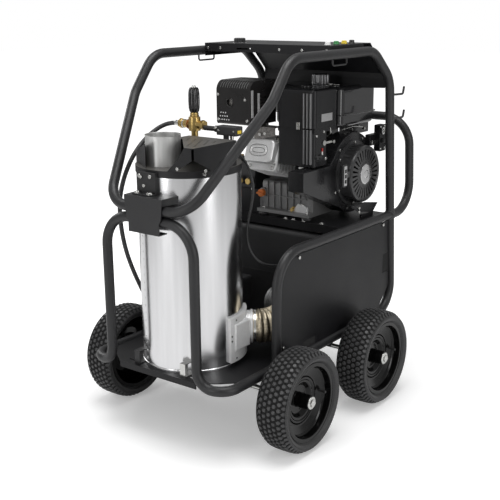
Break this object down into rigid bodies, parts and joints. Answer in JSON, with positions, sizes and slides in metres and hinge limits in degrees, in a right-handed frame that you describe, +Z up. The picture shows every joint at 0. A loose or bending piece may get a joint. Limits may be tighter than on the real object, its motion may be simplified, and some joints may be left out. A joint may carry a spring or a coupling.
{
  "type": "pressure washer",
  "caption": "Hot-water pressure washer: bent tube frame on pneumatic wheels with an upright boiler, a petrol engine, a pump, side panels, a console and a push bar.",
  "frame": {"origin": "on the floor under the middle of the machine's outer box", "axes": "+X to the starter side, -Y to the boiler end, +Y to the push bar, +Z up"},
  "size_m": [0.851, 1.1662, 1.2463],
  "materials": {
    "frame_black": "fine textured powder coat",
    "sheet_black": "satin powder coat",
    "stainless_mirror": "mirror polished stainless sheet",
    "stainless_brushed": "brushed stainless",
    "zinc_steel": "zinc plated",
    "cast_aluminium": "raw die casting",
    "brass": "bare brass",
    "tyre_rubber": "matte moulded rubber",
    "hose_rubber": "satin hose jacket",
    "rim_black": "gloss enamel",
    "engine_black": "gloss enamel on pressed steel",
    "plastic_black": "grained moulding",
    "plastic_orange": "gloss moulding",
    "duct_steel": "bright ribbed steel, slightly heat tinted",
    "nozzle_plastic": "coloured moulding"
  },
  "bodies": {
    "chassis": {"air_cleaner_base": "plastic_black", "air_cleaner_cover": "plastic_black", "air_duct": "duct_steel", "axles": "zinc_steel", "base_tray": "sheet_black", "battery": "plastic_black", "blower_housing": "engine_black", "boiler_clamp": "sheet_black", "boiler_cover": "sheet_black", "bolts": "zinc_steel", "burner_blower": "cast_aluminium", "burner_cover": "cast_aluminium", "burner_fuel_tank": "plastic_black", "carburettor": "cast_aluminium", "crankcase": "cast_aluminium", "cylinder": "cast_aluminium", "drain_hose": "hose_rubber", "drum_foot_clips": "zinc_steel", "drum_shell": "stainless_mirror", "engine_platform": "sheet_black", "exhaust_stack": "stainless_brushed", "frame_tube_left": "frame_black", "frame_tube_right": "frame_black", "front_bracket": "frame_black", "fuel_tank": "engine_black", "key_switch": "plastic_black", "muffler": "zinc_steel", "muffler_guard": "engine_black", "outlet_hose": "hose_rubber", "panel_tubes": "frame_black", "pressure_switch": "plastic_black", "pump": "cast_aluminium", "pump_head": "brass", "push_bar": "frame_black", "recoil_cover": "engine_black", "side_panels": "sheet_black", "spark_plug_cap": "hose_rubber", "spray_nozzles": "nozzle_plastic", "top_console": "sheet_black", "under_frame": "frame_black", "unloader_body": "brass", "valve_cover": "cast_aluminium", "wire_hooks": "frame_black"},
    "starter_grip": {"recoil_grip": "plastic_black"},
    "crankshaft": {"flywheel_fan": "cast_aluminium"},
    "pressure_knob": {"unloader_knob": "plastic_black"},
    "filler_cap": {"fuel_cap": "plastic_black"},
    "key": {"ignition_key": "zinc_steel"},
    "throttle": {"throttle_lever": "zinc_steel"},
    "choke": {"choke_lever": "plastic_black"},
    "oil_dipstick": {"dipstick": "plastic_orange"},
    "thermostat": {"thermostat_knob": "plastic_black"},
    "wheel_front_right": {"tyre_front_right": "tyre_rubber", "rim_front_right": "rim_black"},
    "wheel_front_left": {"tyre_front_left": "tyre_rubber", "rim_front_left": "rim_black"},
    "wheel_rear_right": {"tyre_rear_right": "tyre_rubber", "rim_rear_right": "rim_black"},
    "wheel_rear_left": {"tyre_rear_left": "tyre_rubber", "rim_rear_left": "rim_black"}
  },
  "joints": [
    {"name": "wheel_front_right_spin", "type": "hinge", "parent": "chassis", "child": "wheel_front_right", "pos_m": [0.369, -0.30051, 0.165], "axis": [1, 0, 0], "continuous": true},
    {"name": "wheel_front_left_spin", "type": "hinge", "parent": "chassis", "child": "wheel_front_left", "pos_m": [-0.369, -0.30051, 0.165], "axis": [1, 0, 0], "continuous": true},
    {"name": "wheel_rear_right_spin", "type": "hinge", "parent": "chassis", "child": "wheel_rear_right", "pos_m": [0.369, 0.15809, 0.165], "axis": [1, 0, 0], "continuous": true},
    {"name": "wheel_rear_left_spin", "type": "hinge", "parent": "chassis", "child": "wheel_rear_left", "pos_m": [-0.369, 0.15809, 0.165], "axis": [1, 0, 0], "continuous": true},
    {"name": "starter_pull", "type": "slide", "parent": "chassis", "child": "starter_grip", "axis": [0, -1, 0], "range_m": [0, 0.5], "stiffness_N_per_m": 8, "springref_m": -0.1},
    {"name": "crankshaft_turn", "type": "hinge", "parent": "chassis", "child": "crankshaft", "pos_m": [0.15, 0.30729, 0.774], "axis": [1, 0, 0], "continuous": true},
    {"name": "pressure_adjust", "type": "hinge", "parent": "chassis", "child": "pressure_knob", "pos_m": [-0.053, -0.27621, 1.06], "axis": [0, 0, 1], "range_deg": [-720, 720]},
    {"name": "filler_cap_turn", "type": "hinge", "parent": "chassis", "child": "filler_cap", "pos_m": [0.042, 0.31079, 1.095], "axis": [0, 0, 1], "range_deg": [0, 90]},
    {"name": "key_turn", "type": "hinge", "parent": "chassis", "child": "key", "pos_m": [0.23, 0.43879, 0.912], "axis": [1, 0, 0], "range_deg": [0, 90]},
    {"name": "throttle_swing", "type": "hinge", "parent": "chassis", "child": "throttle", "pos_m": [0.18, 0.12479, 0.902], "axis": [1, 0, 0], "range_deg": [-25, 25]},
    {"name": "choke_swing", "type": "hinge", "parent": "chassis", "child": "choke", "pos_m": [0.18, 0.10479, 0.858], "axis": [1, 0, 0], "range_deg": [0, 45]},
    {"name": "dipstick_turn", "type": "hinge", "parent": "chassis", "child": "oil_dipstick", "pos_m": [-0.087, 0.12879, 0.699], "axis": [0, 1, 0], "range_deg": [0, 540]},
    {"name": "thermostat_turn", "type": "hinge", "parent": "chassis", "child": "thermostat", "pos_m": [-0.15, 0.08879, 1.235], "axis": [0, 0, 1], "range_deg": [0, 270]}
  ]
}
